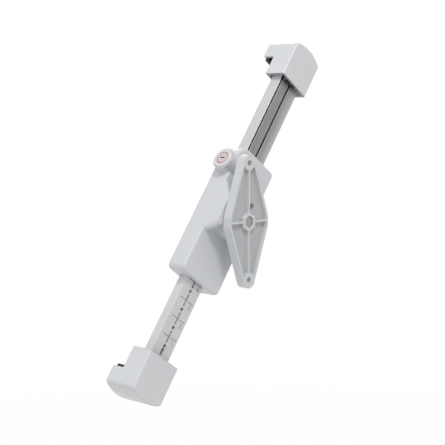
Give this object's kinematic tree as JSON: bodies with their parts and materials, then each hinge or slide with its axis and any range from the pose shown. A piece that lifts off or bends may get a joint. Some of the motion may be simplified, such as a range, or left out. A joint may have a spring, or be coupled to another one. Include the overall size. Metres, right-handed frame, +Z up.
{
  "type": "tablet wall mount",
  "caption": "Wall mount that grips a tablet by two opposite corners: ribbed wall plate, turning hub and housing, telescoping diagonal arm with corner clamps, push lock.",
  "frame": {"origin": "on the hub's axis, in the plane of the wall, midway between the two wall screws", "axes": "+Z up, +Y into the wall, so the tablet's back faces the wall from the -Y side; seen from the room the arm rises to the left"},
  "size_m": [0.1979, 0.049, 0.2626],
  "materials": {
    "body_plastic": "satin moulded",
    "arm_aluminium": "anodised, drawn lengthways",
    "steel": "zinc plated",
    "rubber": "matte",
    "friction_plastic": "slippery, dull",
    "band_plastic": "gloss"
  },
  "bodies": {
    "wall_bracket": {"wall_plate": "body_plastic", "hub_bolt": "steel", "friction_ring": "friction_plastic", "hub_washer": "steel", "disc_spring": "steel", "hub_nut": "steel"},
    "holder": {"rear_shell": "body_plastic", "front_cover": "body_plastic", "cover_screws": "steel", "tablet_pads": "rubber", "upper_arm": "arm_aluminium", "upper_clamp": "body_plastic", "upper_liner": "rubber", "upper_clamp_screws": "steel"},
    "sliding_arm": {"lower_arm": "body_plastic", "stop_screw": "steel", "lower_clamp": "body_plastic", "lower_liner": "rubber", "lower_clamp_screws": "steel"},
    "push_lock": {"lock_cap": "body_plastic", "lock_ring": "band_plastic", "lock_barrel": "steel", "lock_bolt": "steel"},
    "key": {"key_plug": "steel"}
  },
  "joints": [
    {"name": "swivel", "type": "hinge", "parent": "wall_bracket", "child": "holder", "pos_m": [0, 0, 0], "axis": [0, 1, 0], "continuous": true},
    {"name": "arm_slide", "type": "slide", "parent": "holder", "child": "sliding_arm", "axis": [0.5769, 0, -0.8168], "range_m": [-0.045, 0.06]},
    {"name": "lock_push", "type": "slide", "parent": "holder", "child": "push_lock", "axis": [-0.8168, 0, -0.5769], "range_m": [0, 0.004], "stiffness_N_per_m": 300, "springref_m": -0.003},
    {"name": "key_turn", "type": "hinge", "parent": "push_lock", "child": "key", "pos_m": [-0.02111, -0.0253, 0.0299], "axis": [-0.8168, 0, -0.5769], "range_deg": [0, 90]}
  ]
}
